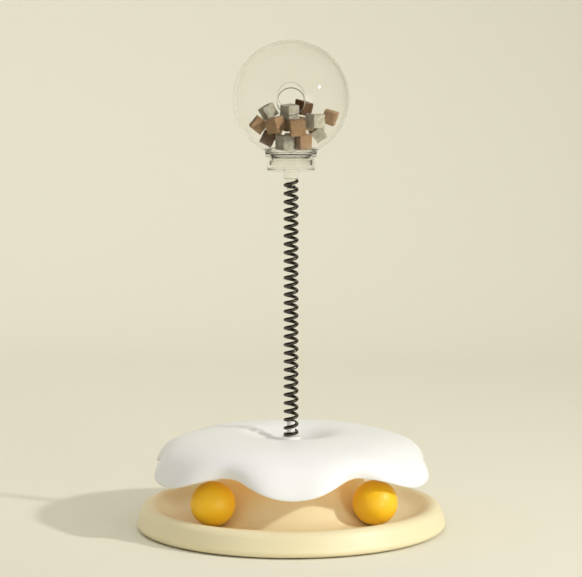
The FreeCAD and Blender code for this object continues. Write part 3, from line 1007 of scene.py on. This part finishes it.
# %% Globe walls
globe = cut_sphere("globe_shell", globe_radius, foot_height)
pick_rim(globe, foot_height * mm, touching)
step_ring(foot_radius, foot_radius, -flange)
step_ring(foot_radius, neck_radius, 0)
step_ring(neck_radius, neck_radius, -neck_length)
step_ring(neck_radius, neck_bore, 0)
step_ring(neck_bore, neck_bore, neck_length)
close_ring()

cavity = cut_sphere("globe_cavity", globe_radius - globe_wall, cavity_bottom)
pick_rim(cavity, cavity_bottom * mm, touching)
close_ring()
print("faces outside:", len(globe.data.polygons), "and inside:", len(cavity.data.polygons))

# %% Leak holes
rim_slack = 0.15 * mm
clear_selection()
cavity.select_set(True)
globe.select_set(True)
bpy.context.view_layer.objects.active = globe
bpy.ops.object.join()
open_piece(globe)
for side in (-1, 1):
    pick(globe, lambda e: e.is_boundary and all(v.co.y * side > 0 for v in e.verts), "EDGE")
    bpy.ops.mesh.bridge_edge_loops()
bpy.ops.mesh.select_all(action="SELECT")
bpy.ops.mesh.normals_make_consistent(inside=False)


def on_leak_rim(edge):
    """Whether an edge runs round a leak hole, on the outer or the inner skin."""
    spread = (Vector((v.co.x, v.co.z - globe_middle * mm)).length for v in edge.verts)
    depth = edge.verts[0].co.y - edge.verts[1].co.y
    return all(abs(r - leak_radius * mm) < rim_slack for r in spread) and abs(depth) < rim_slack


pick(globe, on_leak_rim, "EDGE")
bpy.ops.mesh.bevel(offset=leak_rounding * mm, segments=4, affect="EDGES")
close_piece()
harden(globe)
dress(globe, "globe", "globe", globe_clear)
print("globe of", round(2 * globe_radius, 1), "mm,", len(globe.data.polygons), "faces")

# %% [markdown]
# ## The coil spring
#
# The spring is one steel wire of 2.8 mm, wound 30 and a half times. A curve with a round bevel
# could be wound, but its points would have to be worked out one by one. The Screw modifier does
# the same in one step: it sweeps a circle of wire up and round. The lowest half turn climbs less,
# so that it lies on the boss, and both cut ends run straight for a wire's thickness.
#
# The spring bends to every side when a cat bats the globe. It is made as two meshes that meet in the
# middle: a lower one from the cover to the middle turn, and an upper one from there to the cap.

# %% Spring sizes
spring_low, spring_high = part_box("spring")
wire_radius = 1.4 * mm
coil_radius = spring_high.x - wire_radius
turns = 30.5
flat_turns = 0.5
middle_turn = 15.0
flat_pitch = 3.3 * mm
first_angle = math.pi
wire_sides = 16
steps_per_turn = 40
coil_bottom = spring_low.z + wire_radius
coil_height = spring_high.z - spring_low.z - 2 * wire_radius
open_pitch = (coil_height - flat_turns * flat_pitch) / (turns - flat_turns)
lead = math.atan2(open_pitch, math.tau * coil_radius)
tip_length = 0.15 * mm
tip_narrowing = 0.88
end_run = 2 * wire_radius - tip_length
joint_gap = 0.02 * mm
print("spring:", turns, "turns,", round(open_pitch / mm, 2), "mm apart")


# %% Winding the wire and closing its ends
def coil_stretch(name, first_turn, last_turn, pitch, start):
    """The wire from one count of turns to another, climbing from a height by a pitch."""
    clear_selection()
    bpy.ops.mesh.primitive_circle_add(vertices=wire_sides, radius=wire_radius,
                                      location=(coil_radius, 0, 0), rotation=(math.pi / 2 + lead, 0, 0))
    piece = bpy.context.object
    piece.name = name
    settle(piece)
    count = round((last_turn - first_turn) * steps_per_turn)
    add_modifier(piece, "SCREW", angle=math.tau * (last_turn - first_turn), steps=count, render_steps=count,
                 screw_offset=pitch * (last_turn - first_turn), axis="Z", use_normal_calculate=True)
    piece.rotation_euler.z = first_angle + math.tau * first_turn
    piece.location.z = start
    settle(piece)
    return piece


def close_wire(piece, height, run):
    """Closes the open end at a height. With a run, it first goes straight on to a narrowed tip."""
    pick_rim(piece, height, 2 * wire_radius)
    if run:
        bpy.ops.mesh.extrude_region_move(TRANSFORM_OT_translate={"value": (0, run, 0)})
        bpy.ops.mesh.extrude_region_move(TRANSFORM_OT_translate={"value": (0, tip_length, 0)})
        bpy.ops.transform.resize(value=(tip_narrowing, 1, tip_narrowing))
    bpy.ops.mesh.edge_face_add()


def finish_wire(piece):
    """Ends the editing of a wire, shades it, gives it its steel and hides the measured spring."""
    bpy.ops.mesh.select_all(action="SELECT")
    bpy.ops.mesh.normals_make_consistent(inside=False)
    close_piece()
    bpy.ops.object.shade_smooth_by_angle(angle=math.radians(40))
    piece.data.materials.append(spring_steel)
    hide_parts("spring")
    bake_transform(piece)
    print(piece.name, len(piece.data.polygons), "faces")


print("wire helpers ready")

# %% Two lengths of spring
flat_top = coil_bottom + flat_turns * flat_pitch
coil_middle = flat_top + (middle_turn - flat_turns) * open_pitch
seat_coil = coil_stretch("spring_seat", 0, flat_turns, flat_pitch, coil_bottom)
spring_lower = coil_stretch("spring_lower", flat_turns, middle_turn, open_pitch, flat_top)
seat_coil.select_set(True)
bpy.context.view_layer.objects.active = spring_lower
bpy.ops.object.join()
open_piece(spring_lower)
bpy.ops.mesh.select_all(action="SELECT")
bpy.ops.mesh.remove_doubles(threshold=joint_gap)
close_wire(spring_lower, coil_bottom, end_run)
close_wire(spring_lower, coil_middle, 0)
finish_wire(spring_lower)

spring_upper = coil_stretch("spring_upper", middle_turn, turns, open_pitch, coil_middle)
open_piece(spring_upper)
close_wire(spring_upper, coil_bottom + coil_height, end_run)
close_wire(spring_upper, coil_middle, 0)
finish_wire(spring_upper)

# %% [markdown]
# ## The food cubes
#
# Freeze-dried food is cut into cubes and dries out dull and crumbly: its edges are worn round, its
# faces are pitted and never quite flat. A bump in the material would not change the outline, and
# crumbs show at the outline first. So each cube is a primitive of its measured size that loses its
# sharp edges, is cut fine, is pushed in and out by a noise of its own, and is put in its measured
# place. A third node group paints it: patches of two colours, painted shade in the deepest pores, and a dry
# skin.

# %% Food crumb group
food_group, given, result = new_group(
    "Dried Food",
    [("Color", "NodeSocketColor", (0.4, 0.25, 0.12, 1)),
     ("Dark Color", "NodeSocketColor", (0.2, 0.12, 0.06, 1)),
     ("Fibre", "NodeSocketFloat", 300.0)],
    [("Color", "NodeSocketColor"), ("Roughness", "NodeSocketFloat"), ("Height", "NodeSocketFloat")])
place = node(food_group, "ShaderNodeTexCoord").outputs["Object"]
patches = noise_at(food_group, place, scale=given.outputs["Fibre"], detail=4.0, roughness=0.6)
pores = noise_at(food_group, place, scale=1400.0, detail=5.0, roughness=0.65)
share = between(food_group, patches, 0.35, 0.7, 0.0, 1.0)
patched = mix_colours(food_group, share, given.outputs["Dark Color"], given.outputs["Color"])
# painted shade: where the pore noise is lowest, at the bottom of the bump's pits, the colour goes towards
# the dark one
pit_shade_share = between(food_group, pores, 0.28, 0.45, 0.45, 1.0)
pit_shaded = mix_colours(food_group, pit_shade_share, given.outputs["Dark Color"], patched)
food_group.links.new(pit_shaded, result.inputs["Color"])
food_group.links.new(between(food_group, pores, 0.3, 0.7, 0.95, 0.8), result.inputs["Roughness"])
food_group.links.new(pores, result.inputs["Height"])
print("group:", food_group.name)

# %% Foods
pore_depth = 0.25 * mm


def food(name, colour, dark, fibre):
    """One kind of dried food, in its colour and the darker one of its patches, which also paints shade into
    its pores.
    """
    material = bpy.data.materials.new(name)
    material.use_nodes = True
    tree = material.node_tree
    shader = tree.nodes["Principled BSDF"]
    crumb = node(tree, "ShaderNodeGroup", node_tree=food_group)
    crumb.inputs["Color"].default_value = (*colour, 1)
    crumb.inputs["Dark Color"].default_value = (*dark, 1)
    crumb.inputs["Fibre"].default_value = fibre
    bump = node(tree, "ShaderNodeBump")
    bump.inputs["Strength"].default_value = 0.6
    bump.inputs["Distance"].default_value = pore_depth
    tree.links.new(crumb.outputs["Height"], bump.inputs["Height"])
    tree.links.new(crumb.outputs["Color"], shader.inputs["Base Color"])
    tree.links.new(crumb.outputs["Roughness"], shader.inputs["Roughness"])
    tree.links.new(bump.outputs["Normal"], shader.inputs["Normal"])
    shader.inputs["Specular IOR Level"].default_value = 0.25
    return material


foods = {
    "brown": food("treat_brown", colour=(0.37, 0.237, 0.122), dark=(0.255, 0.152, 0.075), fibre=350.0),
    "dark": food("treat_dark", colour=(0.15, 0.075, 0.03), dark=(0.07, 0.035, 0.015), fibre=350.0),
    "pale": food("treat_pale", colour=(0.50, 0.475, 0.385), dark=(0.32, 0.29, 0.21), fibre=300.0),
    "cream": food("treat_cream", colour=(0.66, 0.57, 0.36), dark=(0.45, 0.36, 0.2), fibre=300.0),
}
print("foods:", ", ".join(foods))

# %% Food cubes
corner_gap = 0.1 * mm
edge_wear = 0.045
face_cuts = 6
broad_warp = 0.3
broad_scale = 0.16
fine_warp = 0.1
fine_scale = 0.6
chip_start = 0.72
chip_scale = 0.45
chip_threshold = 0.05
chip_depth = 1.1
skin_loss = 0.15
noise_stride = (7.1, 3.7, 1.9)


def cube_frame(name):
    """Middle, edge length and axes of a measured cube, read from its corners."""
    corners = []
    for vertex in nodes[name].data.vertices:
        if all((vertex.co - c).length > corner_gap for c in corners):
            corners.append(vertex.co.copy())
    middle = sum(corners, Vector()) / len(corners)
    first = corners[0]
    near = sorted(corners[1:], key=lambda c: (c - first).length)[:3]
    axes = [(c - first).normalized() for c in near]
    if axes[0].cross(axes[1]).dot(axes[2]) < 0:
        axes.reverse()
    return middle, (near[0] - first).length, Matrix(axes).transposed()


def food_cube(name, number):
    """A measured cube again, with worn edges and faces that are never quite flat."""
    middle, edge, axes = cube_frame(name)
    clear_selection()
    bpy.ops.mesh.primitive_cube_add(size=edge)
    piece = bpy.context.object
    piece.name = name + "_crumb"
    open_piece(piece)
    bpy.ops.mesh.bevel(offset=edge_wear * edge, segments=2, affect="EDGES")
    bpy.ops.mesh.select_all(action="SELECT")
    bpy.ops.mesh.subdivide(number_cuts=face_cuts)
    close_piece()
    shift = Vector([stride * number for stride in noise_stride])
    moved = []
    for vertex in piece.data.vertices:
        spot = vertex.co / mm
        warp = broad_warp * noise.noise(spot * broad_scale + shift)
        warp += fine_warp * noise.noise(spot * fine_scale + shift)
        second = sorted(abs(c) for c in vertex.co)[1] / (edge / 2)
        near_edge = max(0.0, (second - chip_start) / (1 - chip_start))
        chip = max(0.0, noise.noise(spot * chip_scale - shift) - chip_threshold) * near_edge
        moved.extend(vertex.co + vertex.normal * mm * (warp - skin_loss - chip_depth * chip))
    piece.data.vertices.foreach_set("co", moved)
    piece.data.update()
    piece.matrix_world = Matrix.Translation(middle) @ axes.to_4x4()
    settle(piece)
    clear_selection()
    piece.select_set(True)
    bpy.ops.object.shade_smooth_by_angle(angle=math.radians(38))
    dress(piece, name, "globe", foods[name.split("_")[1]])
    return piece


treat_names = sorted(name for name in nodes if name.startswith("treat_"))
cubes = [food_cube(name, number) for number, name in enumerate(treat_names, 1)]
print("food cubes:", len(cubes), "faces in one:", len(cubes[0].data.polygons))
